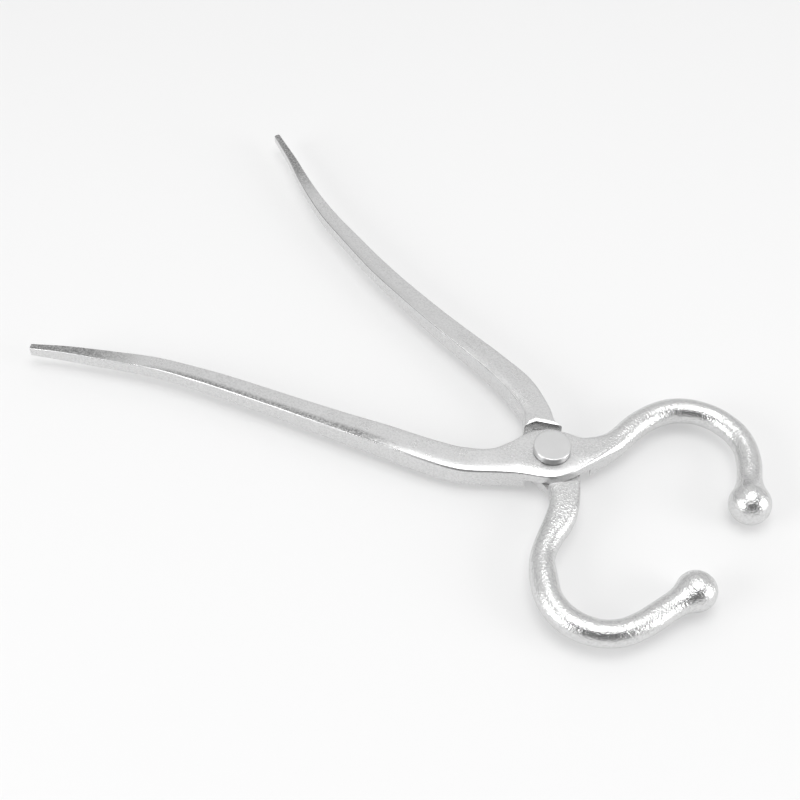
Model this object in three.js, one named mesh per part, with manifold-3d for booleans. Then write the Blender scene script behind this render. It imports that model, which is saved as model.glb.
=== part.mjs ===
// Ball-ended cattle nose pliers: two forged stainless levers crossed on one rivet.
// Units are millimetres and +Z is up, along the rivet. The origin is the middle of the rivet's
// flat underside. +X runs from the rivet towards the jaws, and the handles run towards -X.
// The levers are shown part open, as they lie when the tool is put down.
import * as THREE from 'three';
import { LoftGeometry } from 'three/addons/geometries/LoftGeometry.js';
import { mergeVertices } from 'three/addons/utils/BufferGeometryUtils.js';
import Module from 'manifold-3d';

const wasm = await Module();
wasm.setup();

// Driving dimensions
const FORGING_THICKNESS = 12; // across both plates of the lap joint, and at the handle's root
const RUNNING_GAP = 0.3; // between faces that slide on each other
const SHOULDER_DISTANCE = 18.6; // from the rivet's axis to the straight shoulder at the jaw's root

const SHANK_RADIUS = 5;
const HEAD_RADIUS = 8.9;
const HEAD_HEIGHT = 4;
const TAIL_HEIGHT = 3;
const HEAD_EDGE = 0.7; // rounding of the head's top edge
const TAIL_EDGE = 0.5; // rounding of the tail's bottom edge

const MID_Z = TAIL_HEIGHT + FORGING_THICKNESS / 2; // the plane where the two plates meet

// Fineness of the faceted surfaces
const STEPS_PER_STATION = 3;
const STEPS_PER_CORNER = 4;
const BEND_STATIONS = 7;
const BALL_SEGMENTS = 28;
const BALL_RINGS = 18;
const RIVET_SEGMENTS = 48;

// Both levers come from the same die, but each is bent and ground by hand, so each has its own
// stations from the handle's tip to the round jaw: place in plan, width in plan, thickness along Z,
// and how round the corners are, from 0 (square) to 1 (a rod). After them come the jaw's bend, with
// its angle, its radius and the rod's diameter at the start and at the end, then the ball, and the
// lap's cut. The cut's shoulder at the handle is round with a flat, each at its own distance from the
// rivet's axis, and it leans outwards by slope for each millimetre of depth.
const UPPER = {
  stations: [
    [-249.2, -97, 3.8, 5.8, 0.6], // tip
    [-233.5, -88.8, 5, 7, 0.4],
    [-215.5, -80.2, 6.5, 7.2, 0.3],
    [-188, -68.1, 8, 8, 0.25], // where the tip starts to flare outwards
    [-164.3, -60.9, 8.9, 8.6, 0.2],
    [-139.7, -54.8, 9.5, 9.2, 0.2],
    [-115, -49.2, 10.2, 10, 0.2], // grip
    [-90.2, -43.6, 11.3, 11, 0.2],
    [-70, -38.8, 12.4, 11.8, 0.2],
    [-48.9, -34.1, 13.4, 12, 0.2],
    [-31.7, -28.6, 14, 12, 0.2],
    [-18.2, -19.8, 14.4, 12, 0.18], // handle's root
    [-11.5, -13, 19, 12, 0.12],
    [-5, -6.2, 26, 12, 0.1],
    [1, -0.8, 28, 12, 0.1], // joint plate, at the rivet
    [6.7, 4, 23.6, 12, 0.12],
    [12.3, 9.5, 16.4, 12, 0.25],
    [16.7, 16.2, 13.2, 12, 0.5], // jaw's root
    [19.8, 22.8, 12.4, 12, 0.8],
    [21.3, 30, 12.2, 12.2, 1], // from here the bar is a rod
    [22.6, 38, 12.2, 12.2, 1],
  ],
  bend: { x: 53, y: 37.6, angle: [158, 28], radius: [29.1, 28.9], diameter: [12.1, 11.7] },
  ball: { x: 88.7, y: 31.8, radius: 9.95 },
  lap: { radius: 18.4, slope: 0.6, jawAngle: 34, handleAngle: -112, handleDistance: 18.4 },
};
const LOWER = {
  stations: [
    [-251.7, 102.7, 3.4, 5.4, 0.6], // tip
    [-232.2, 92.1, 4.5, 6.2, 0.4],
    [-215, 81.7, 5.8, 6.8, 0.3],
    [-188, 68, 7.6, 7.2, 0.25], // where the tip starts to flare outwards
    [-164.8, 59.4, 8.5, 7.6, 0.2],
    [-140.8, 51.2, 9.4, 8, 0.2],
    [-116.9, 44.5, 9.9, 9.2, 0.2], // grip
    [-92.2, 38.6, 10.6, 9.9, 0.2],
    [-72.3, 34.5, 11.3, 10.7, 0.2],
    [-51.8, 30.2, 12.3, 11.5, 0.2],
    [-32.9, 24.7, 13.6, 12, 0.2],
    [-19.2, 17, 13.2, 12, 0.18], // handle's root
    [-11.2, 8.5, 17.2, 12, 0.12],
    [-4.8, 4.2, 26, 12, 0.1],
    [1, -0.6, 28, 12, 0.1], // joint plate, at the rivet
    [7.1, -5.3, 23.2, 12, 0.1],
    [12.9, -10.3, 15.9, 12, 0.16],
    [17.2, -15.4, 13.6, 12, 0.25], // jaw's root
    [20.4, -21.6, 13.6, 12.2, 0.5],
    [22.5, -30, 13.3, 12.4, 0.8],
    [23.7, -38.5, 12.2, 12.6, 1], // from here the bar is a rod
    [26.9, -50.3, 11.5, 12.2, 1],
  ],
  bend: { x: 55.2, y: -43.7, angle: [-145, -21], radius: [26.8, 26.4], diameter: [12.9, 12.2] },
  ball: { x: 90.7, y: -24.3, radius: 9.35 },
  lap: { radius: 18.7, slope: 0, jawAngle: -48, handleAngle: 112, handleDistance: 15.7 },
};

// The rod between the bend and the ball: distance from the ball's centre over the ball's radius,
// and diameter there over the rod's.
const NECK_SECTIONS = [
  [1.6, 1.0],
  [1.15, 1.05],
  [0.75, 1.25],
  [0, 1.3], // inside the ball
];

const STAINLESS = { color: 0xcdcdcb, metalness: 1 };

// A closed geometry as a solid for joining and cutting.
function toSolid(geometry) {
  const bare = new THREE.BufferGeometry();
  bare.setAttribute('position', geometry.attributes.position);
  bare.setIndex(geometry.index);
  const merged = mergeVertices(bare);
  return new wasm.Manifold(new wasm.Mesh({
    numProp: 3,
    vertProperties: new Float32Array(merged.attributes.position.array),
    triVerts: new Uint32Array(merged.index.array),
  }));
}

function toGeometry(solid) {
  const mesh = solid.getMesh();
  const geometry = new THREE.BufferGeometry();
  geometry.setAttribute('position', new THREE.BufferAttribute(mesh.vertProperties, 3));
  geometry.setIndex(new THREE.BufferAttribute(mesh.triVerts, 1));
  geometry.computeVertexNormals();
  return geometry;
}

// A rod station on the way from the handle to the ball.
function rodStation(x, y, diameter) {
  return { x, y, width: diameter, thickness: diameter, roundness: 1 };
}

// All the stations of one lever, from the handle's tip to the middle of the ball.
function leverStations({ stations, bend, ball }) {
  const all = stations.map(([x, y, width, thickness, roundness]) => (
    { x, y, width, thickness, roundness }
  ));
  for (let i = 0; i < BEND_STATIONS; i++) {
    const share = i / (BEND_STATIONS - 1);
    const angle = THREE.MathUtils.degToRad(THREE.MathUtils.lerp(...bend.angle, share));
    const radius = THREE.MathUtils.lerp(...bend.radius, share);
    const x = bend.x + radius * Math.cos(angle);
    const y = bend.y + radius * Math.sin(angle);
    all.push(rodStation(x, y, THREE.MathUtils.lerp(...bend.diameter, share)));
  }
  const bendEnd = all.at(-1);
  const toBend = new THREE.Vector2(bendEnd.x - ball.x, bendEnd.y - ball.y).normalize();
  for (const [distance, girth] of NECK_SECTIONS) {
    const reach = distance * ball.radius;
    const diameter = girth * bendEnd.width;
    all.push(rodStation(ball.x + toBend.x * reach, ball.y + toBend.y * reach, diameter));
  }
  return all;
}

// A rectangle with rounded corners in the plane across the lever, anticlockwise seen from the ball.
function section(centre, across, width, thickness, roundness) {
  const radius = roundness * Math.min(width, thickness) / 2;
  const points = [];
  for (let corner = 0; corner < 4; corner++) {
    const sideX = corner === 0 || corner === 3 ? 1 : -1;
    const sideZ = corner < 2 ? 1 : -1;
    for (let i = 0; i <= STEPS_PER_CORNER; i++) {
      const angle = (corner + i / STEPS_PER_CORNER) * Math.PI / 2;
      const along = sideX * (width / 2 - radius) + radius * Math.cos(angle);
      const up = sideZ * (thickness / 2 - radius) + radius * Math.sin(angle);
      points.push(new THREE.Vector3(
        centre.x + across.x * along,
        centre.y + across.y * along,
        MID_Z + up,
      ));
    }
  }
  return points;
}

// The forging before it is machined: a bar that tapers, swells into a plate and ends as a rod.
function forgedBar(stations) {
  const centreline = new THREE.CatmullRomCurve3(
    stations.map(({ x, y }) => new THREE.Vector3(x, y, 0)),
    false,
    'centripetal',
  );
  const girth = new THREE.CatmullRomCurve3(
    stations.map(({ width, thickness, roundness }) => new THREE.Vector3(width, thickness, roundness)),
    false,
    'catmullrom',
  );
  const steps = (stations.length - 1) * STEPS_PER_STATION;
  const sections = [];
  for (let i = 0; i <= steps; i++) {
    const place = i / steps;
    const tangent = centreline.getTangent(place);
    const across = new THREE.Vector2(-tangent.y, tangent.x);
    const size = girth.getPoint(place);
    const roundness = THREE.MathUtils.clamp(size.z, 0.05, 0.999);
    sections.push(section(centreline.getPoint(place), across, size.x, size.y, roundness));
  }
  return toSolid(new LoftGeometry(sections, { capStart: true, capEnd: true }));
}

function ballEnd({ x, y, radius }) {
  const ball = new THREE.SphereGeometry(radius, BALL_SEGMENTS, BALL_RINGS);
  ball.rotateX(Math.PI / 2);
  ball.translate(x, y, MID_Z);
  return toSolid(ball);
}

// The tool that cuts the lap: a half disc on the handle's side and a straight shoulder at the jaw.
// It takes the half of the forging above or below the plane where the two plates meet.
function lapCutter({ radius, slope, jawAngle, handleAngle, handleDistance }, side) {
  const outerRadius = radius + slope * FORGING_THICKNESS;
  const disc = new THREE.CylinderGeometry(
    side > 0 ? outerRadius : radius,
    side > 0 ? radius : outerRadius,
    FORGING_THICKNESS,
    2 * RIVET_SEGMENTS,
  );
  disc.rotateX(Math.PI / 2);
  const jawSide = new THREE.BoxGeometry(SHOULDER_DISTANCE, 2 * radius, FORGING_THICKNESS);
  jawSide.translate(SHOULDER_DISTANCE / 2, 0, 0);
  const middle = MID_Z + side * (FORGING_THICKNESS - RUNNING_GAP) / 2;
  const flat = THREE.MathUtils.degToRad(handleAngle - jawAngle);
  return toSolid(disc)
    .trimByPlane([-1, 0, 0], 0)
    .trimByPlane([-Math.cos(flat), -Math.sin(flat), 0], -handleDistance)
    .add(toSolid(jawSide))
    .rotate([0, 0, jawAngle])
    .translate([0, 0, middle]);
}

function rivetBore() {
  const bore = new THREE.CylinderGeometry(
    SHANK_RADIUS + RUNNING_GAP,
    SHANK_RADIUS + RUNNING_GAP,
    2 * FORGING_THICKNESS,
    RIVET_SEGMENTS,
  );
  bore.rotateX(Math.PI / 2);
  bore.translate(0, 0, MID_Z);
  return toSolid(bore);
}

// cutSide is the side of the meeting plane that is cut away: +1 above it, -1 below it.
function lever(shape, cutSide) {
  const solid = forgedBar(leverStations(shape))
    .add(ballEnd(shape.ball))
    .subtract(lapCutter(shape.lap, cutSide))
    .subtract(rivetBore());
  return toGeometry(solid);
}

// Flat-topped head, shank and a formed tail, turned as one piece.
function rivet() {
  const tailTop = TAIL_HEIGHT - RUNNING_GAP;
  const headBottom = TAIL_HEIGHT + FORGING_THICKNESS + RUNNING_GAP;
  const headTop = TAIL_HEIGHT + FORGING_THICKNESS + HEAD_HEIGHT;
  const profile = new THREE.Path();
  profile.moveTo(0, 0);
  profile.lineTo(HEAD_RADIUS - TAIL_EDGE, 0);
  profile.absarc(HEAD_RADIUS - TAIL_EDGE, TAIL_EDGE, TAIL_EDGE, -Math.PI / 2, 0, false);
  profile.lineTo(HEAD_RADIUS, tailTop);
  profile.lineTo(SHANK_RADIUS, tailTop);
  profile.lineTo(SHANK_RADIUS, headBottom);
  profile.lineTo(HEAD_RADIUS, headBottom);
  profile.absarc(HEAD_RADIUS - HEAD_EDGE, headTop - HEAD_EDGE, HEAD_EDGE, 0, Math.PI / 2, false);
  profile.lineTo(0, headTop);
  const turned = new THREE.LatheGeometry(profile.getPoints(3), RIVET_SEGMENTS);
  turned.rotateX(Math.PI / 2);
  return turned;
}

function part(name, geometry, roughness) {
  const mesh = new THREE.Mesh(geometry, new THREE.MeshStandardMaterial({ ...STAINLESS, roughness }));
  mesh.name = name;
  return mesh;
}

const pliers = new THREE.Group();
pliers.add(part('lower_lever', lever(LOWER, 1), 0.3));
pliers.add(part('upper_lever', lever(UPPER, -1), 0.3));
pliers.add(part('pivot_rivet', rivet(), 0.35));

export default pliers;
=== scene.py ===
"""Ball-ended cattle nose pliers: the looks of two forged stainless levers and their rivet."""

import math

import bmesh
import bpy
from mathutils import Matrix, Vector, kdtree, noise


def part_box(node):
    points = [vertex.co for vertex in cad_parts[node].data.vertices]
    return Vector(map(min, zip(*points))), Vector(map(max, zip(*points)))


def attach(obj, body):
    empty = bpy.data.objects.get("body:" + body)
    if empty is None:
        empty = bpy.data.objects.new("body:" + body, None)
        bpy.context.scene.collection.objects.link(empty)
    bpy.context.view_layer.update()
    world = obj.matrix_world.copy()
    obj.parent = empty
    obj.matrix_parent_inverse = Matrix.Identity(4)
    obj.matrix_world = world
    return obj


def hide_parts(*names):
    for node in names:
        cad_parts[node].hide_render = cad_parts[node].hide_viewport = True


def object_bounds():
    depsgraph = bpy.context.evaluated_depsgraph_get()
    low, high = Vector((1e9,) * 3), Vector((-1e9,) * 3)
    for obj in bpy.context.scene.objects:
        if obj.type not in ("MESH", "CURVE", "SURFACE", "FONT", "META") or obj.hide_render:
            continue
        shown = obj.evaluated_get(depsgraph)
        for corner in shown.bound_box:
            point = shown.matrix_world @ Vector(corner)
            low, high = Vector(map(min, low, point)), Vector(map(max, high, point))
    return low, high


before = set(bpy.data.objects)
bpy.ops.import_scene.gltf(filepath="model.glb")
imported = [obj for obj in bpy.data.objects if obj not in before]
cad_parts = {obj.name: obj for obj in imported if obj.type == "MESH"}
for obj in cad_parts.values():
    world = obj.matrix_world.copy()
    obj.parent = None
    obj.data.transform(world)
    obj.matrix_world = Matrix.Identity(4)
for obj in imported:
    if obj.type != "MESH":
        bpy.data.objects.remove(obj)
cad_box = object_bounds()

MM = 0.001

# ---- Sizes, in millimetres unless the comment says otherwise ----

# The rivet's own box gives the joint's axis and heights.
rivet_low, rivet_high = (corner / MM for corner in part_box("pivot_rivet"))
HEAD_RADIUS = (rivet_high.x - rivet_low.x) / 2
TAIL_HEIGHT = 3.0
SHANK_RADIUS = 5.0
RIM_INSET = 1.0  # width of the flat ring that keeps the shading of the rivet's ends even
RIVET_EDGE = 0.5  # rounding of the rivet's rims

FORGING_THICKNESS = 12.0  # across both plates of the lap joint
MID_Z = TAIL_HEIGHT + FORGING_THICKNESS / 2  # the plane where the two plates meet
RUNNING_GAP = 0.3  # between faces that slide on each other
SHOULDER_DISTANCE = 18.6  # from the rivet's axis to the straight shoulder at the jaw's root
EDGE_BREAK = ((0.2, 0.6), (1.2, 0.5))  # steps of a shoulder's broken edge: outwards, upwards
CUTTER_OVERLAP = 1.0  # so that no thin fin is left between two cutters

# The grinding wheel rolls off the near edge of a handle's or a plate's top face.
CROWN = 0.055  # how far the handle's face falls there, as a share of its width
CROWN_REACH = 0.36  # how much of the width that fall takes
PLATE_CROWN = 0.8  # the same two on the joint's plate
PLATE_CROWN_REACH = 4.4
PLATE_WIDTHS = (17.0, 30.0)  # up to the first width the bar is handle, from the second it is plate

# Dents and slow waves of the skin: the distance between two of a kind, and how deep they go.
HAMMER_WAVE, HAMMER_DEPTH = 10.0, 0.2
TUMBLE_WAVE, TUMBLE_DEPTH = 3.6, 0.05  # from the tumbling barrel
GRIND_WAVE, GRIND_DEPTH = 26.0, 0.16  # from grinding by hand
HANDLE_HAMMER = 0.25  # how much of the jaw's hammering is left on the ground handle, as a share
HANDLE_TUMBLE = 0.15
JOINT_FREE = (17.0, 30.0)  # from the rivet's axis: the sliding faces inside stay flat
MEETING_FREE = 1.5  # from the plane where the plates meet, which stays flat too
JAW_HAMMERED = (10.0, 40.0)  # along X, where the hammered jaw takes over from the handle

# How finely the skin is cut.
RING_STEP = 0.8  # between two rings of a lever
RING_SEGMENTS = 96
BALL_RINGS = 16
ROUND_SEGMENTS = 128  # of the rivet and of the round cutters
EDGE_SEGMENTS = 5
SHARP_ANGLE = 35.0  # degrees; a sharper edge than this stays crisp
JOIN_DISTANCE = 1e-6  # metres; points closer than this are one

# The neck, where the rod meets its ball.
NECK_FILLET = 20.0  # radius of the hollow between rod and ball
NECK_REACH = 2.0  # in ball radii from the ball's centre: nearer than this the bar is all neck
NECK_STATIONS = (1.6, 0.8, 0.0)  # in ball radii too, where the rod runs straight to the ball
BEND_STATIONS = 7
LEAST_ROUNDNESS = 0.05
SIDE_SHARE = 0.25  # of a quarter ring's points, on each flat side; the rest go round the corner

# Stations from the handle's tip to the round jaw: place in plan, width in plan, thickness along Z,
# and how round the corners are, from 0 (square) to 1 (a rod). After them come the jaw's bend, with
# its angle, its radius and the rod's diameter at the start and at the end, then the ball, and then
# the lap's cut: its radius, how far its wall leans out for each millimetre of height, the
# directions of the shoulders at the jaw and at the handle, and the second one's distance.
UPPER = {
    "stations": [
        (-249.2, -97, 3.8, 5.8, 0.6),  # tip
        (-233.5, -88.8, 5, 7, 0.4),
        (-215.5, -80.2, 6.5, 7.2, 0.3),
        (-188, -68.1, 8, 8, 0.25),  # where the tip starts to flare outwards
        (-164.3, -60.9, 8.9, 8.6, 0.2),
        (-139.7, -54.8, 9.5, 9.2, 0.2),
        (-115, -49.2, 10.2, 10, 0.2),  # grip
        (-90.2, -43.6, 11.3, 11, 0.2),
        (-70, -38.8, 12.4, 11.8, 0.2),
        (-48.9, -34.1, 13.4, 12, 0.2),
        (-31.7, -28.6, 14, 12, 0.2),
        (-18.2, -19.8, 14.4, 12, 0.18),  # handle's root
        (-11.5, -13, 19, 12, 0.12),
        (-5, -6.2, 26, 12, 0.1),
        (1, -0.8, 28, 12, 0.1),  # joint plate, at the rivet
        (6.7, 4, 23.6, 12, 0.12),
        (12.3, 9.5, 16.4, 12, 0.25),
        (16.7, 16.2, 13.2, 12, 0.5),  # jaw's root
        (19.8, 22.8, 12.4, 12, 0.8),
        (21.3, 30, 12.2, 12.2, 1),  # from here the bar is a rod
        (22.6, 38, 12.2, 12.2, 1),
    ],
    "bend": {
        "x": 53,
        "y": 37.6,
        "angle": (158, 28),
        "radius": (29.1, 28.9),
        "diameter": (12.1, 11.7),
    },
    "ball": {"x": 88.7, "y": 31.8, "radius": 9.95},
    "lap": {"radius": 18.4, "slope": 0.6, "jaw": 34, "handle": -112, "handle_distance": 18.4},
}
LOWER = {
    "stations": [
        (-251.7, 102.7, 3.4, 5.4, 0.6),  # tip
        (-232.2, 92.1, 4.5, 6.2, 0.4),
        (-215, 81.7, 5.8, 6.8, 0.3),
        (-188, 68, 7.6, 7.2, 0.25),  # where the tip starts to flare outwards
        (-164.8, 59.4, 8.5, 7.6, 0.2),
        (-140.8, 51.2, 9.4, 8, 0.2),
        (-116.9, 44.5, 9.9, 9.2, 0.2),  # grip
        (-92.2, 38.6, 10.6, 9.9, 0.2),
        (-72.3, 34.5, 11.3, 10.7, 0.2),
        (-51.8, 30.2, 12.3, 11.5, 0.2),
        (-32.9, 24.7, 13.6, 12, 0.2),
        (-19.2, 17, 13.2, 12, 0.18),  # handle's root
        (-11.2, 8.5, 17.2, 12, 0.12),
        (-4.8, 4.2, 26, 12, 0.1),
        (1, -0.6, 28, 12, 0.1),  # joint plate, at the rivet
        (7.1, -5.3, 23.2, 12, 0.1),
        (12.9, -10.3, 15.9, 12, 0.16),
        (17.2, -15.4, 13.6, 12, 0.25),  # jaw's root
        (20.4, -21.6, 13.6, 12.2, 0.5),
        (22.5, -30, 13.3, 12.4, 0.8),
        (23.7, -38.5, 12.2, 12.6, 1),  # from here the bar is a rod
        (26.9, -50.3, 11.5, 12.2, 1),
    ],
    "bend": {
        "x": 55.2,
        "y": -43.7,
        "angle": (-145, -21),
        "radius": (26.8, 26.4),
        "diameter": (12.9, 12.2),
    },
    "ball": {"x": 90.7, "y": -24.3, "radius": 9.35},
    "lap": {"radius": 18.7, "slope": 0, "jaw": -48, "handle": 112, "handle_distance": 15.7},
}

# ---- Small helpers ----


def clamp(value, low=0.0, high=1.0):
    return max(low, min(high, value))


def between(start, end, share):
    """The value at a share of the way from start to end."""
    return start + (end - start) * share


def smooth_step(start, end, value):
    """Goes gently from 0 to 1 while the value goes from start to end."""
    share = clamp((value - start) / (end - start))
    return share * share * (3 - 2 * share)


def new_object(name, bm):
    """Turns a mesh in the making into an object of the scene."""
    mesh = bpy.data.meshes.new(name)
    bm.to_mesh(mesh)
    bm.free()
    piece = bpy.data.objects.new(name, mesh)
    bpy.context.scene.collection.objects.link(piece)
    return piece


def shade(piece):
    """Smooth shading, with the sharp edges kept crisp."""
    for polygon in piece.data.polygons:
        polygon.use_smooth = True
    piece.data.set_sharp_from_angle(angle=math.radians(SHARP_ANGLE))


def apply_modifiers(piece):
    """Bakes the piece's modifiers into its own mesh."""
    depsgraph = bpy.context.evaluated_depsgraph_get()
    baked = bpy.data.meshes.new_from_object(piece.evaluated_get(depsgraph))
    piece.modifiers.clear()
    old = piece.data
    piece.data = baked
    bpy.data.meshes.remove(old)


# ---- The line of a lever ----


def all_stations(shape):
    """The stations of one lever, with the bend's and the neck's added, as five-number vectors."""
    stations = [Vector(row) for row in shape["stations"]]
    bend = shape["bend"]
    for i in range(BEND_STATIONS):
        share = i / (BEND_STATIONS - 1)
        angle, radius, rod = (between(*bend[key], share) for key in ("angle", "radius", "diameter"))
        x = bend["x"] + radius * math.cos(math.radians(angle))
        y = bend["y"] + radius * math.sin(math.radians(angle))
        stations.append(Vector((x, y, rod, rod, 1)))
    ball = shape["ball"]
    centre = Vector((ball["x"], ball["y"]))
    back = (stations[-1].xy - centre).normalized()
    for distance in NECK_STATIONS:
        place = centre + back * distance * ball["radius"]
        stations.append(Vector((place.x, place.y, rod, rod, 1)))
    return stations


def smooth_line(stations):
    """Points about RING_STEP apart on a smooth curve through the stations."""
    lengths = [(b.xy - a.xy).length for a, b in zip(stations, stations[1:])]
    slopes = [(b - a) / length for a, b, length in zip(stations, stations[1:], lengths)]
    tangents = [slopes[0]]
    for i in range(1, len(slopes)):
        before, after = lengths[i - 1], lengths[i]
        tangents.append((slopes[i - 1] * after + slopes[i] * before) / (before + after))
    tangents.append(slopes[-1])
    line = []
    for i, length in enumerate(lengths):
        steps = max(1, round(length / RING_STEP))
        for step in range(steps):
            t = step / steps
            place = (
                stations[i] * (2 * t**3 - 3 * t**2 + 1)
                + tangents[i] * length * (t**3 - 2 * t**2 + t)
                + stations[i + 1] * (3 * t**2 - 2 * t**3)
                + tangents[i + 1] * length * (t**3 - t**2)
            )
            line.append(place)
    line.append(stations[-1])
    return line


def directions(line):
    """The direction of travel at each point of the line."""
    found = []
    for i in range(len(line)):
        ahead = line[min(i + 1, len(line) - 1)].xy
        behind = line[max(i - 1, 0)].xy
        found.append((ahead - behind).normalized())
    return found


def crowned(across, up, width, roundness):
    """The height of a point once the grinding wheel has rolled off the near edge of the face."""
    if across > 0 or up < 0:
        return up
    plate = smooth_step(*PLATE_WIDTHS, width)
    fall = between(CROWN * width, PLATE_CROWN, plate)
    reach = between(CROWN_REACH * width, PLATE_CROWN_REACH, plate)
    share = clamp(1 - (width / 2 - abs(across)) / reach)
    return up - fall * (1 - roundness) * share**2


def section_point(unit, width, thickness, roundness):
    """Where a point of the unit circle goes on a rounded rectangle: (across, up)."""
    radius = roundness * min(width, thickness) / 2
    quarter = math.atan2(abs(unit.y), abs(unit.x)) / (math.pi / 2)
    corner = clamp((quarter - SIDE_SHARE) / (1 - 2 * SIDE_SHARE))
    angle = (corner + (quarter - corner) * roundness) * math.pi / 2
    across = clamp((1 - quarter) / SIDE_SHARE) * (width / 2 - radius) + radius * math.cos(angle)
    up = clamp(quarter / SIDE_SHARE) * (thickness / 2 - radius) + radius * math.sin(angle)
    across = math.copysign(across, unit.x)
    up = math.copysign(up, unit.y)
    return across, crowned(across, up, width, roundness)


def neck_radius(distance, rod, ball):
    """Radius of the rod and its ball, joined by a hollow fillet, at a distance from the ball's
    centre."""
    reach = math.sqrt((ball + NECK_FILLET) ** 2 - (rod + NECK_FILLET) ** 2)
    if distance > reach:
        return rod
    if distance > reach * ball / (ball + NECK_FILLET):
        return rod + NECK_FILLET - math.sqrt(NECK_FILLET**2 - (reach - distance) ** 2)
    return math.sqrt(max(ball**2 - distance**2, 0.0))


# ---- Shaping ----


def place_ring(verts, unit, centre, direction, size):
    """Moves a ring's vertices to their section across the line."""
    width, thickness, roundness = size
    across_x, across_y = -direction.y, direction.x
    for v in verts:
        across, up = section_point(v[unit], width, thickness, roundness)
        v.co = (
            (centre.x + across_x * across) * MM,
            (centre.y + across_y * across) * MM,
            (MID_Z + up) * MM,
        )


def forged_bar(shape):
    """A bar that tapers, swells into a plate, and ends as a rod with a ball: one skin of rings,
    each extruded from the last."""
    line = smooth_line(all_stations(shape))
    travel = directions(line)
    ball = shape["ball"]
    ball_centre = Vector((ball["x"], ball["y"]))
    rings = []
    for place, direction in zip(line, travel):
        distance = (place.xy - ball_centre).length
        width, thickness, roundness = place[2], place[3], clamp(place[4], LEAST_ROUNDNESS)
        if distance < NECK_REACH * ball["radius"]:
            width = thickness = 2 * neck_radius(distance, width / 2, ball["radius"])
        rings.append((place.xy, direction, (width, thickness, roundness)))
    for i in range(1, BALL_RINGS):
        angle = i / BALL_RINGS * math.pi / 2
        place = ball_centre + travel[-1] * math.sin(angle) * ball["radius"]
        girth = 2 * math.cos(angle) * ball["radius"]
        rings.append((place, travel[-1], (girth, girth, 1)))

    bm = bmesh.new()
    unit = bm.verts.layers.float_vector.new("unit")
    verts = bmesh.ops.create_circle(bm, segments=RING_SEGMENTS, radius=1)["verts"]
    for v in verts:
        v[unit] = v.co
    edges = list(bm.edges)
    place_ring(verts, unit, *rings[0])
    bmesh.ops.contextual_create(bm, geom=edges)
    for ring in rings[1:]:
        made = bmesh.ops.extrude_edge_only(bm, edges=edges)["geom"]
        verts = [g for g in made if isinstance(g, bmesh.types.BMVert)]
        edges = [g for g in made if isinstance(g, bmesh.types.BMEdge)]
        place_ring(verts, unit, *ring)
    bmesh.ops.contextual_create(bm, geom=edges)
    bmesh.ops.recalc_face_normals(bm, faces=bm.faces)
    return bm, line


def trim(bm, angle, distance):
    """Cuts away all that lies beyond a distance from the joint's axis in one direction."""
    normal = Vector((math.cos(math.radians(angle)), math.sin(math.radians(angle)), 0))
    cut = bmesh.ops.bisect_plane(
        bm,
        geom=bm.verts[:] + bm.edges[:] + bm.faces[:],
        plane_co=normal * distance * MM,
        plane_no=normal,
        clear_outer=True,
    )["geom_cut"]
    rim = [g for g in cut if isinstance(g, bmesh.types.BMEdge)]
    if rim:
        bmesh.ops.contextual_create(bm, geom=rim)


def lap_cutter(name, bm, side):
    """Sets a cutter above or below the plane where the plates meet."""
    middle = MID_Z + side * (FORGING_THICKNESS - RUNNING_GAP) / 2
    bmesh.ops.translate(bm, verts=bm.verts, vec=(0, 0, middle * MM))
    bmesh.ops.recalc_face_normals(bm, faces=bm.faces)
    return new_object(name, bm)


def handle_shoulder(lap, side):
    """The cutter of the lap on the handle's side: round with a flat, its wall leaning out by the
    slope. The lower lever's wall faces up into view, so its top edge is broken at an angle."""
    inner, flat = lap["radius"], lap["handle_distance"]
    radii = [inner * MM, (inner + lap["slope"] * FORGING_THICKNESS) * MM]
    bottom, top = radii if side > 0 else reversed(radii)
    bm = bmesh.new()
    bmesh.ops.create_cone(
        bm,
        cap_ends=True,
        segments=ROUND_SEGMENTS,
        radius1=bottom,
        radius2=top,
        depth=FORGING_THICKNESS * MM,
    )
    trim(bm, lap["jaw"], CUTTER_OVERLAP)
    trim(bm, lap["handle"], flat)
    if side > 0:
        break_top_edge(bm, flat)
    return lap_cutter("handle_shoulder", bm, side)


def break_top_edge(bm, flat):
    """Spreads the cutter in steps, from a little below the forging's top face to above it. The last
    step goes on for twice as long, so that the cutter comes out well above the face."""
    face_height = RUNNING_GAP / 2
    height = face_height - sum(up for _, up in EDGE_BREAK)
    bm.normal_update()
    top = max(bm.faces, key=lambda face: face.normal.z)
    drop = height - FORGING_THICKNESS / 2
    bmesh.ops.translate(bm, verts=top.verts, vec=(0, 0, drop * MM))
    for out, up in EDGE_BREAK:
        if (out, up) == EDGE_BREAK[-1]:
            out, up = 2 * out, 2 * up
        raised = bmesh.ops.extrude_face_region(bm, geom=[top])["geom"]
        bmesh.ops.delete(bm, geom=[top], context="FACES_ONLY")
        verts = [g for g in raised if isinstance(g, bmesh.types.BMVert)]
        top = next(g for g in raised if isinstance(g, bmesh.types.BMFace))
        spread = (flat + out) / flat
        bmesh.ops.scale(bm, verts=verts, vec=(spread, spread, 1))
        bmesh.ops.translate(bm, verts=verts, vec=(0, 0, up * MM))
        flat += out


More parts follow.
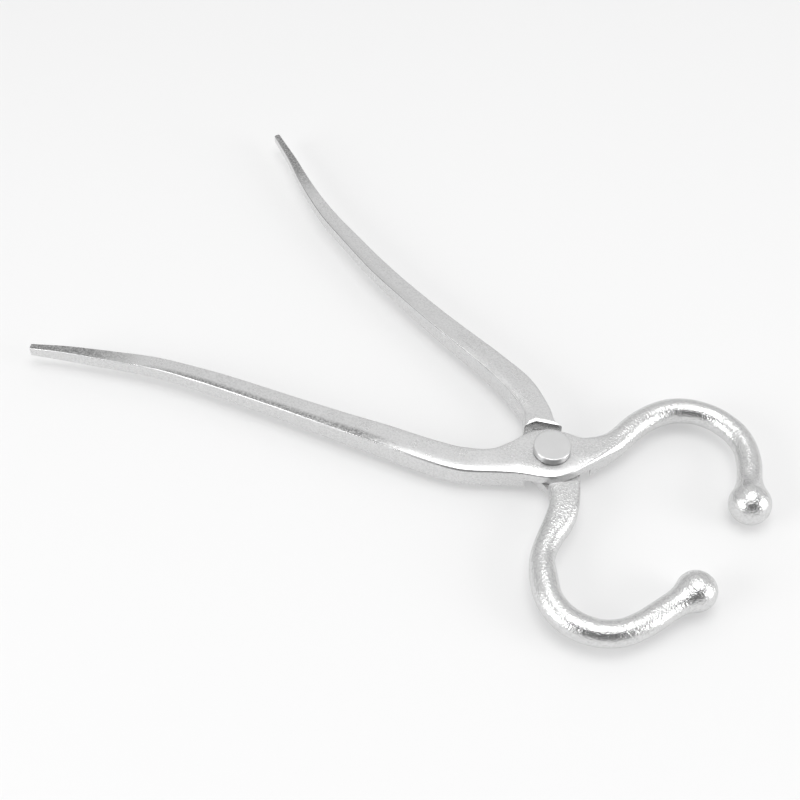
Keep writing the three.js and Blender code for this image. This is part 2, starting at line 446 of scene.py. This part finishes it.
def jaw_shoulder(lap, side):
    """The cutter of the lap on the jaw's side, up to its straight shoulder."""
    bm = bmesh.new()
    bmesh.ops.create_cube(bm, size=MM)
    size = (SHOULDER_DISTANCE, 2 * lap["radius"], FORGING_THICKNESS)
    bmesh.ops.scale(bm, verts=bm.verts, vec=size)
    bmesh.ops.translate(bm, verts=bm.verts, vec=(SHOULDER_DISTANCE / 2 * MM, 0, 0))
    turn = Matrix.Rotation(math.radians(lap["jaw"]), 3, "Z")
    bmesh.ops.rotate(bm, verts=bm.verts, matrix=turn)
    return lap_cutter("jaw_shoulder", bm, side)


def rivet_bore():
    """The cutter of the hole that the shank runs in."""
    bm = bmesh.new()
    radius = (SHANK_RADIUS + RUNNING_GAP) * MM
    bmesh.ops.create_cone(
        bm,
        cap_ends=True,
        segments=ROUND_SEGMENTS,
        radius1=radius,
        radius2=radius,
        depth=2 * FORGING_THICKNESS * MM,
    )
    bmesh.ops.translate(bm, verts=bm.verts, vec=(0, 0, MID_Z * MM))
    return new_object("rivet_bore", bm)


def straight_places(piece, line):
    """Where each vertex would be if the bar were straightened: along, across, up, in metres. A
    vertex goes with the nearer of the two stretches of line that meet at its nearest point."""
    tree = kdtree.KDTree(len(line))
    distance = [0.0]
    for i, place in enumerate(line):
        tree.insert((place.x * MM, place.y * MM, MID_Z * MM), i)
        if i:
            distance.append(distance[-1] + (place.xy - line[i - 1].xy).length * MM)
    tree.balance()
    places = []
    for v in piece.data.vertices:
        _, i, _ = tree.find((v.co.x, v.co.y, MID_Z * MM))
        across = math.inf
        for start in range(max(i - 1, 0), min(i + 1, len(line) - 1)):
            first, step = line[start].xy * MM, (line[start + 1].xy - line[start].xy) * MM
            share = clamp((v.co.xy - first).dot(step) / step.length_squared)
            gap = v.co.xy - first - step * share
            if gap.length < abs(across):
                across = math.copysign(gap.length, step.cross(gap))
                along = distance[start] + share * step.length
        places.append(Vector((along, across, v.co.z - MID_Z * MM)))
    return places


def hammer(piece, places, seed):
    """Pushes the skin in and out as hammering and hand grinding leave it."""
    mesh = piece.data
    normals = [v.normal.copy() for v in mesh.vertices]
    for v, place, normal in zip(mesh.vertices, places, normals):
        from_axis = v.co.xy.length / MM
        from_meeting = abs(v.co.z / MM - MID_Z)
        free = smooth_step(*JOINT_FREE, from_axis) * smooth_step(0, MEETING_FREE, from_meeting)
        jaw = smooth_step(*JAW_HAMMERED, v.co.x / MM)
        dents = noise.noise(place / (HAMMER_WAVE * MM) + seed)
        slow = noise.noise(place / (GRIND_WAVE * MM) - seed)
        small = noise.noise(place / (TUMBLE_WAVE * MM) + seed)
        push = dents * HAMMER_DEPTH * between(HANDLE_HAMMER, 1, jaw) + slow * GRIND_DEPTH
        push += small * TUMBLE_DEPTH * between(HANDLE_TUMBLE, 1, jaw)
        v.co += normal * push * free * MM


def lever(name, node, body, shape, cut_side, material, seed):
    """One forging with its lap and bore cut out. The half of the joint's plate that is cut away is
    the upper one where cut_side is 1, and the lower one where it is -1."""
    bm, line = forged_bar(shape)
    piece = new_object(name, bm)
    lap = shape["lap"]
    cutters = [handle_shoulder(lap, cut_side), jaw_shoulder(lap, cut_side), rivet_bore()]
    for cutter in cutters:
        cut = piece.modifiers.new(cutter.name, "BOOLEAN")
        cut.operation = "DIFFERENCE"
        cut.solver = "EXACT"
        cut.object = cutter
    apply_modifiers(piece)
    for cutter in cutters:
        bpy.data.objects.remove(cutter)
    hammer(piece, straight_places(piece, line), Vector((seed, 2 * seed, 3 * seed)))
    attribute = piece.data.attributes.new("straight", "FLOAT_VECTOR", "POINT")
    for item, place in zip(attribute.data, straight_places(piece, line)):
        item.vector = place
    shade(piece)
    piece.data.materials.clear()
    piece.data.materials.append(material)
    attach(piece, body)
    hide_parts(node)


def rivet(material):
    """Flat-topped head, shank and formed tail, turned about the joint's axis."""
    tail_top = TAIL_HEIGHT - RUNNING_GAP
    head_bottom = TAIL_HEIGHT + FORGING_THICKNESS + RUNNING_GAP
    head_top = rivet_high.z
    profile = [
        (0, 0),
        (HEAD_RADIUS - RIM_INSET, 0),
        (HEAD_RADIUS, 0),
        (HEAD_RADIUS, tail_top),
        (SHANK_RADIUS, tail_top),
        (SHANK_RADIUS, head_bottom),
        (HEAD_RADIUS, head_bottom),
        (HEAD_RADIUS, head_top),
        (HEAD_RADIUS - RIM_INSET, head_top),
        (0, head_top),
    ]
    bm = bmesh.new()
    verts = [bm.verts.new((x * MM, 0, z * MM)) for x, z in profile]
    edges = [bm.edges.new(pair) for pair in zip(verts, verts[1:])]
    bmesh.ops.spin(
        bm,
        geom=verts + edges,
        axis=(0, 0, 1),
        cent=(0, 0, 0),
        angle=2 * math.pi,
        steps=ROUND_SEGMENTS,
        use_merge=True,
    )
    bmesh.ops.remove_doubles(bm, verts=bm.verts, dist=JOIN_DISTANCE)
    bmesh.ops.recalc_face_normals(bm, faces=bm.faces)
    for height in (head_top, 0):
        rim = [
            e
            for e in bm.edges
            if all(
                abs(v.co.z - height * MM) < JOIN_DISTANCE
                and v.co.xy.length > (HEAD_RADIUS - RIM_INSET / 2) * MM
                for v in e.verts
            )
        ]
        bmesh.ops.bevel(
            bm,
            geom=rim,
            offset=RIVET_EDGE * MM,
            segments=EDGE_SEGMENTS,
            profile=0.5,
            affect="EDGES",
            material=-1,
        )
    piece = new_object("headed_rivet", bm)
    shade(piece)
    piece.data.materials.append(material)
    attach(piece, "lower")
    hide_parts("pivot_rivet")


# ---- Materials ----

GROUND_STEEL = 0xE1E1E1
# The darker colour is both forged skin and painted shade: a painted dark reflection on up-facing
# faces and a painted shade line at the near corner.
SKIN_AND_PAINTED_SHADE = 0x8A8A8A
RIVET_STEEL = 0xDADADA
FLOOR_ACRYLIC = 0xC6C6C6
FLOOR_GLOW = 0xFFFFFF

# Sizes of the patterns, in millimetres. Real grit is 0.1 mm and real linishing lines are as fine.
# Neither would show at arm's length, so both are drawn about ten times as coarse.
GRIT = 1.0
PATCH = 14.286  # stretches that took more polish than others
LINE = (14.286, 0.769, 0.769)  # a linishing line: along, across and up the bar
NECK_MARK = (1.1765, 14.286, 14.286)  # a file mark round the neck, in the same three directions
RIVET_GRAIN = 0.625  # real bead blasting is finer, and drawn coarser for the same reason

# Stretches of a lever, in millimetres from the handle's tip: where each one fades in or out.
STRETCHES = {
    "jaw": (290, 312),  # the tumbled skin begins
    "tip": (62, 30),  # the tip's top: forged skin that the wheel has not ground, and a painted dark reflection
    "strip_start": (50, 80),
    "strip_end": (208, 180),
    "handle": (245, 215),  # the painted shade line at the handle's near corner dies out
}
LOWER_NECK = 419  # the lower lever's neck, which was filed across, from the handle's tip
NO_NECK = 600  # past the end of the bar: the upper lever's neck has no file marks
NECK_FADE_IN = (-4, 4)  # the same for the file marks, in millimetres from the neck's place
NECK_FADE_OUT = (17, 10)
STRIP_ACROSS = (-1.0, -3.2)  # from the handle's middle line towards its near edge
FACING_UP = (0.72, 0.92)  # how far a face has to look up to be part of the top, which takes the skin and its painted dark reflection
CORNER_DIRECTION = (-0.7071, 0.7071, 0)  # of the near top corner, on the ring's unit circle
CORNER_NEARNESS = (0.993, 0.9985)  # how close to that corner the painted shade line is drawn

# What the patterns do, and how strongly.
RAMP = ("From Min", "From Max", "To Min", "To Max")  # what the numbers of a ramp mean
SKIN_AND_REFLECTION_BREAKS = (0.35, 0.6, 0.45, 1.0)  # from grit to the share of dark skin and painted dark reflection left there
GRAIN_DARKNESS = (0.42, 0.68, 0.0, 0.22)  # from grit to how dark its hollows are
PATCH_RANGE = (0.3, 0.7)  # how far a soft pattern really swings
SATIN = (0.24, 0.33)  # roughness of the linished handle, least and most
BRIGHT = (0.14, 0.22)  # of the tumbled jaw
BLASTED = (0.28, 0.4)  # of the rivet
LINE_RELIEF = 0.16  # heights, as shares of RELIEF
GRIT_RELIEF = 0.2
NECK_RELIEF = 0.9
RELIEF = 0.3  # millimetres
RIVET_RELIEF = 0.08


def repeats(size):
    """How many times a pattern of this size in millimetres repeats in a metre."""
    return 1 / (size * MM)


def linear(hex_colour):
    """An sRGB hex value as the linear colour that the shader takes."""
    channels = [(hex_colour >> shift & 0xFF) / 255 for shift in (16, 8, 0)]
    return [c / 12.92 if c <= 0.04045 else ((c + 0.055) / 1.055) ** 2.4 for c in channels] + [1.0]


def add_node(tree, kind, settings=None, links=None):
    """Adds a node, sets its properties and inputs, and links its inputs to other nodes' outputs."""
    node = tree.nodes.new(kind)
    for key, value in (settings or {}).items():
        if isinstance(key, str) and hasattr(node, key):
            setattr(node, key, value)
        else:
            node.inputs[key].default_value = value
    for key, (source, output) in (links or {}).items():
        tree.links.new(source.outputs[output], node.inputs[key])
    return node


def new_material(name):
    """A material with no nodes yet, and its node tree."""
    material = bpy.data.materials.new(name)
    material.use_nodes = True
    material.node_tree.nodes.clear()
    return material, material.node_tree


def unground_skin_and_painted_reflection(tree, axes, along, grit, band):
    """Dark forged skin that the wheel has not reached, and on the same up-facing faces a painted
    dark
    reflection, broken up by the grit: the top of the tip, and a strip along the handle's near edge
    that is as strong as band."""
    normal = add_node(tree, "ShaderNodeNewGeometry")
    upward = add_node(tree, "ShaderNodeSeparateXYZ", None, {0: (normal, "Normal")})
    top = add_node(
        tree,
        "ShaderNodeMapRange",
        dict(zip(RAMP, FACING_UP)),
        {"Value": (upward, "Z")},
    )
    # The tip's up-facing faces: forged skin and a painted dark reflection.
    tip_skin_and_reflection = add_node(
        tree,
        "ShaderNodeMath",
        {"operation": "MULTIPLY"},
        {0: (along["tip"], "Result"), 1: (top, "Result")},
    )
    near_edge = add_node(
        tree,
        "ShaderNodeMapRange",
        dict(zip(RAMP, [edge * MM for edge in STRIP_ACROSS])),
        {"Value": (axes, "Y")},
    )
    strip_length = add_node(
        tree,
        "ShaderNodeMath",
        {"operation": "MULTIPLY"},
        {0: (along["strip_start"], "Result"), 1: (along["strip_end"], "Result")},
    )
    # Only the strip's up-facing faces darken: forged skin and a painted dark reflection.
    strip_width = add_node(
        tree,
        "ShaderNodeMath",
        {"operation": "MULTIPLY"},
        {0: (near_edge, "Result"), 1: (top, "Result")},
    )
    strip = add_node(
        tree,
        "ShaderNodeMath",
        {"operation": "MULTIPLY"},
        {0: (strip_length, "Value"), 1: (strip_width, "Value")},
    )
    strip_share = add_node(
        tree, "ShaderNodeMath", {"operation": "MULTIPLY", 1: band}, {0: (strip, "Value")}
    )
    skin_and_painted_reflection = add_node(
        tree,
        "ShaderNodeMath",
        {"operation": "MAXIMUM"},
        {0: (tip_skin_and_reflection, "Value"), 1: (strip_share, "Value")},
    )
    breaks = add_node(
        tree, "ShaderNodeMapRange", dict(zip(RAMP, SKIN_AND_REFLECTION_BREAKS)), {"Value": (grit, "Fac")}
    )
    return add_node(
        tree,
        "ShaderNodeMath",
        {"operation": "MULTIPLY"},
        {0: (skin_and_painted_reflection, "Value"), 1: (breaks, "Result")},
    )


def painted_corner_shade(tree, along, corner_shade_strength):
    """Painted shade: a thin dark line along the handle's near top corner."""
    around = add_node(tree, "ShaderNodeAttribute", {"attribute_name": "unit"})
    corner = add_node(
        tree,
        "ShaderNodeVectorMath",
        {"operation": "DOT_PRODUCT", 1: CORNER_DIRECTION},
        {0: (around, "Vector")},
    )
    line = add_node(
        tree,
        "ShaderNodeMapRange",
        dict(zip(RAMP, (*CORNER_NEARNESS, 0, corner_shade_strength))),
        {"Value": (corner, "Value")},
    )
    return add_node(
        tree,
        "ShaderNodeMath",
        {"operation": "MULTIPLY"},
        {0: (line, "Result"), 1: (along["handle"], "Result")},
    )


def steel_colour(tree, skin_and_painted_reflection, corner_shade_line, grit):
    """Pale ground steel, darkened by forged skin and a painted dark reflection on up-facing faces,
    by a painted shade line at the near corner, and in the grit's hollows."""
    dark_places = add_node(
        tree,
        "ShaderNodeMath",
        {"operation": "MAXIMUM"},
        {0: (skin_and_painted_reflection, "Value"), 1: (corner_shade_line, "Value")},
    )
    grain = add_node(
        tree, "ShaderNodeMapRange", dict(zip(RAMP, GRAIN_DARKNESS)), {"Value": (grit, "Fac")}
    )
    dark = add_node(
        tree,
        "ShaderNodeMath",
        {"operation": "MAXIMUM"},
        {0: (dark_places, "Value"), 1: (grain, "Result")},
    )
    return add_node(
        tree,
        "ShaderNodeMix",
        {"data_type": "RGBA", 6: linear(GROUND_STEEL), 7: linear(SKIN_AND_PAINTED_SHADE)},
        {0: (dark, "Value")},
    )


def polish(tree, along, solid):
    """The roughness: satin on the handle and bright on the jaw, each a little uneven."""
    patches = add_node(
        tree,
        "ShaderNodeTexNoise",
        {"Scale": repeats(PATCH), "Detail": 2, "Roughness": 0.55},
        {"Vector": (solid, "Object")},
    )
    satin, bright = (
        add_node(
            tree,
            "ShaderNodeMapRange",
            dict(zip(RAMP, PATCH_RANGE + finish)),
            {"Value": (patches, "Fac")},
        )
        for finish in (SATIN, BRIGHT)
    )
    return add_node(
        tree,
        "ShaderNodeMix",
        {"data_type": "FLOAT"},
        {0: (along["jaw"], "Result"), 2: (satin, "Result"), 3: (bright, "Result")},
    )


def stretched_pattern(tree, place, size, settings):
    """A pattern that follows the bar, with its own size along, across and up."""
    stretched = add_node(
        tree,
        "ShaderNodeVectorMath",
        {"operation": "MULTIPLY", 1: [repeats(length) for length in size]},
        {0: (place, "Vector")},
    )
    return add_node(tree, "ShaderNodeTexNoise", settings, {"Vector": (stretched, "Vector")})


def skin_relief(tree, place, along, grit):
    """Linishing lines and faint grit on the handle, full grit on the jaw, file marks at a neck."""
    lines = stretched_pattern(tree, place, LINE, {"Scale": 1, "Detail": 2, "Roughness": 0.6})
    fine_grit = add_node(
        tree, "ShaderNodeMath", {"operation": "MULTIPLY", 1: GRIT_RELIEF}, {0: (grit, "Fac")}
    )
    handle_relief = add_node(
        tree,
        "ShaderNodeMath",
        {"operation": "MULTIPLY_ADD", 1: LINE_RELIEF},
        {0: (lines, "Fac"), 2: (fine_grit, "Value")},
    )
    relief = add_node(
        tree,
        "ShaderNodeMix",
        {"data_type": "FLOAT"},
        {0: (along["jaw"], "Result"), 2: (handle_relief, "Value"), 3: (grit, "Fac")},
    )
    marks = stretched_pattern(tree, place, NECK_MARK, {"Scale": 1, "Detail": 1})
    at_neck = add_node(
        tree,
        "ShaderNodeMath",
        {"operation": "MULTIPLY"},
        {0: (along["neck"], "Result"), 1: (along["neck_end"], "Result")},
    )
    marked = add_node(
        tree, "ShaderNodeMath", {"operation": "MULTIPLY", 1: NECK_RELIEF}, {0: (at_neck, "Value")}
    )
    height = add_node(
        tree,
        "ShaderNodeMath",
        {"operation": "MULTIPLY_ADD"},
        {0: (marks, "Fac"), 1: (marked, "Value"), 2: (relief, "Result")},
    )
    return add_node(
        tree,
        "ShaderNodeBump",
        {"Strength": 1.0, "Distance": RELIEF * MM},
        {"Height": (height, "Value")},
    )


def forged_stainless(name, band, corner_shade_strength, neck):
    """Forged stainless steel, tumbled bright and then linished by hand along the handles: a silvery
    skin that glitters with small dents on the jaws and carries hair-fine lines on the handles. The
    wheel has not reached the top of the tips or, where band says so, a strip along the handle's
    near
    edge: the darker forged skin shows there, and the same darkening of up-facing faces is also a
    painted dark reflection. A painted shade line runs along the handle's near top corner."""
    material, tree = new_material(name)
    place = add_node(tree, "ShaderNodeAttribute", {"attribute_name": "straight"})
    axes = add_node(tree, "ShaderNodeSeparateXYZ", None, {0: (place, "Vector")})
    solid = add_node(tree, "ShaderNodeTexCoord")
    grit = add_node(
        tree,
        "ShaderNodeTexNoise",
        {"Scale": repeats(GRIT), "Detail": 2, "Roughness": 0.62},
        {"Vector": (solid, "Object")},
    )
    stretches = dict(STRETCHES)
    stretches["neck"] = [neck + end for end in NECK_FADE_IN]
    stretches["neck_end"] = [neck + end for end in NECK_FADE_OUT]
    along = {
        stretch: add_node(
            tree,
            "ShaderNodeMapRange",
            dict(zip(RAMP, [end * MM for end in ends])),
            {"Value": (axes, "X")},
        )
        for stretch, ends in stretches.items()
    }
    skin_and_painted_reflection = unground_skin_and_painted_reflection(tree, axes, along, grit, band)
    colour = steel_colour(tree, skin_and_painted_reflection, painted_corner_shade(tree, along, corner_shade_strength), grit)
    shader = add_node(
        tree,
        "ShaderNodeBsdfPrincipled",
        {"Metallic": 1.0},
        {
            "Base Color": (colour, 2),
            "Roughness": (polish(tree, along, solid), "Result"),
            "Normal": (skin_relief(tree, place, along, grit), "Normal"),
        },
    )
    add_node(tree, "ShaderNodeOutputMaterial", None, {"Surface": (shader, "BSDF")})
    return material


def rivet_stainless(name):
    """A headed stainless rivet, bead-blasted to an even matt grey."""
    material, tree = new_material(name)
    place = add_node(tree, "ShaderNodeTexCoord")
    grain = add_node(
        tree,
        "ShaderNodeTexNoise",
        {"Scale": repeats(RIVET_GRAIN), "Detail": 2, "Roughness": 0.6},
        {"Vector": (place, "Object")},
    )
    bump = add_node(
        tree,
        "ShaderNodeBump",
        {"Strength": 0.4, "Distance": RIVET_RELIEF * MM},
        {"Height": (grain, "Fac")},
    )
    roughness = add_node(
        tree,
        "ShaderNodeMapRange",
        dict(zip(RAMP, PATCH_RANGE + BLASTED)),
        {"Value": (grain, "Fac")},
    )
    shader = add_node(
        tree,
        "ShaderNodeBsdfPrincipled",
        {"Base Color": linear(RIVET_STEEL), "Metallic": 1.0},
        {"Roughness": (roughness, "Result"), "Normal": (bump, "Normal")},
    )
    add_node(tree, "ShaderNodeOutputMaterial", None, {"Surface": (shader, "BSDF")})
    return material


def opal_acrylic(name):
    """Opal acrylic lit softly from below, as on a light table: an even pale ground that keeps the
    shadows faint."""
    material, tree = new_material(name)
    shader = add_node(
        tree,
        "ShaderNodeBsdfPrincipled",
        {
            "Base Color": linear(FLOOR_ACRYLIC),
            "Roughness": 0.85,
            "Emission Color": linear(FLOOR_GLOW),
            "Emission Strength": 0.3,
        },
    )
    add_node(tree, "ShaderNodeOutputMaterial", None, {"Surface": (shader, "BSDF")})
    return material


# ---- Camera, floor and light ----

CAMERA_AZIMUTH = 36.0  # degrees
CAMERA_ELEVATION = 51.2
CAMERA_DISTANCE = 657.0  # millimetres, as are the target, the lens and the sensor
CAMERA_TARGET = Vector((-78.7, -13.7, MID_Z))
LENS = 60.08
SENSOR_WIDTH = 36
NEAREST_SEEN = 10
FLOOR_SIZE = 60  # metres from the middle to the edge, so that the edge is out of sight
FLOOR_GAP = 0.2  # millimetres of air under the tool, so that the two faces don't flicker

# The studio's softboxes: place and size in metres, and power in watts. They face the tool.
SOFTBOXES = {
    "overhead": ((0.05, 0.0, 1.5), 1.0, 9),
    "left_side": ((-0.66, -1.16, 0.62), 0.75, 7),
    "right_side": ((1.33, 0.42, 0.55), 0.75, 7),
}
DARK_SIDE = Vector((0.37, -0.51, 0.78))  # where the unlit end of the studio lies
DARK_SIDE_EDGE = (0.62, 0.92)  # how near to that direction the light starts to fail, and is gone
DARK_SIDE_LIGHT = (0.98, 0.2)
HORIZON_EDGE = (0.1, 0.55)  # heights in the sky between which the horizon's dimness fades
HORIZON_LIGHT = (0.75, 1.0)


def add_camera():
    """The camera, high in front of the tool and a little past its jaws, aimed at its middle."""
    azimuth = math.radians(CAMERA_AZIMUTH)
    elevation = math.radians(CAMERA_ELEVATION)
    back = Vector((
        math.sin(azimuth) * math.cos(elevation),
        -math.cos(azimuth) * math.cos(elevation),
        math.sin(elevation),
    ))
    data = bpy.data.cameras.new("camera")
    data.lens = LENS
    data.sensor_width = SENSOR_WIDTH
    data.clip_start = NEAREST_SEEN * MM
    camera = bpy.data.objects.new("camera", data)
    camera.location = (CAMERA_TARGET + back * CAMERA_DISTANCE) * MM
    camera.rotation_euler = (-back).to_track_quat("-Z", "Y").to_euler()
    bpy.context.scene.collection.objects.link(camera)
    bpy.context.scene.camera = camera


def add_floor():
    """A plain pale floor just under the tool."""
    bm = bmesh.new()
    bmesh.ops.create_grid(bm, x_segments=1, y_segments=1, size=FLOOR_SIZE)
    bmesh.ops.translate(bm, verts=bm.verts, vec=(0, 0, cad_box[0][2] - FLOOR_GAP * MM))
    floor = new_object("floor", bm)
    floor.data.materials.append(opal_acrylic("opal_acrylic"))


def add_softbox(name, place, size, power):
    """A square softbox that faces the tool."""
    data = bpy.data.lights.new(name, "AREA")
    data.shape = "SQUARE"
    data.size = size
    data.energy = power
    light = bpy.data.objects.new(name, data)
    light.location = place
    light.rotation_euler = (-Vector(place)).to_track_quat("-Z", "Y").to_euler()
    bpy.context.scene.collection.objects.link(light)


def add_world():
    """A pale grey studio, darker near the horizon and at the end where nobody has put a light."""
    world = bpy.data.worlds.new("studio")
    bpy.context.scene.world = world
    world.use_nodes = True
    tree = world.node_tree
    tree.nodes.clear()
    place = add_node(tree, "ShaderNodeTexCoord")
    facing = add_node(
        tree,
        "ShaderNodeVectorMath",
        {"operation": "DOT_PRODUCT", 1: DARK_SIDE.normalized()},
        {0: (place, "Generated")},
    )
    unlit = add_node(
        tree,
        "ShaderNodeMapRange",
        dict(zip(RAMP, DARK_SIDE_EDGE + DARK_SIDE_LIGHT)),
        {"Value": (facing, "Value")},
    )
    height = add_node(tree, "ShaderNodeSeparateXYZ", None, {0: (place, "Generated")})
    horizon = add_node(
        tree,
        "ShaderNodeMapRange",
        dict(zip(RAMP, HORIZON_EDGE + HORIZON_LIGHT)),
        {"Value": (height, "Z")},
    )
    light = add_node(
        tree,
        "ShaderNodeMath",
        {"operation": "MULTIPLY"},
        {0: (unlit, "Result"), 1: (horizon, "Result")},
    )
    sky = add_node(tree, "ShaderNodeBackground", None, {"Strength": (light, "Value")})
    add_node(tree, "ShaderNodeOutputWorld", None, {"Surface": (sky, "Background")})


add_camera()
add_floor()
add_world()
for softbox, (place, size, power) in SOFTBOXES.items():
    add_softbox(softbox, place, size, power)
bpy.context.scene.view_settings.view_transform = "Standard"

# band sets the strip of forged skin and painted dark reflection; the next number is the strength of
# the painted shade line at the near corner.
lower_finish = forged_stainless("linished_stainless", band=0.25, corner_shade_strength=1.0, neck=LOWER_NECK)
upper_finish = forged_stainless("half_linished_stainless", band=1.0, corner_shade_strength=0.4, neck=NO_NECK)
lever("lower_forging", "lower_lever", "lower", LOWER, 1, lower_finish, seed=3.1)
lever("upper_forging", "upper_lever", "upper", UPPER, -1, upper_finish, seed=7.4)
rivet(rivet_stainless("rivet_stainless"))
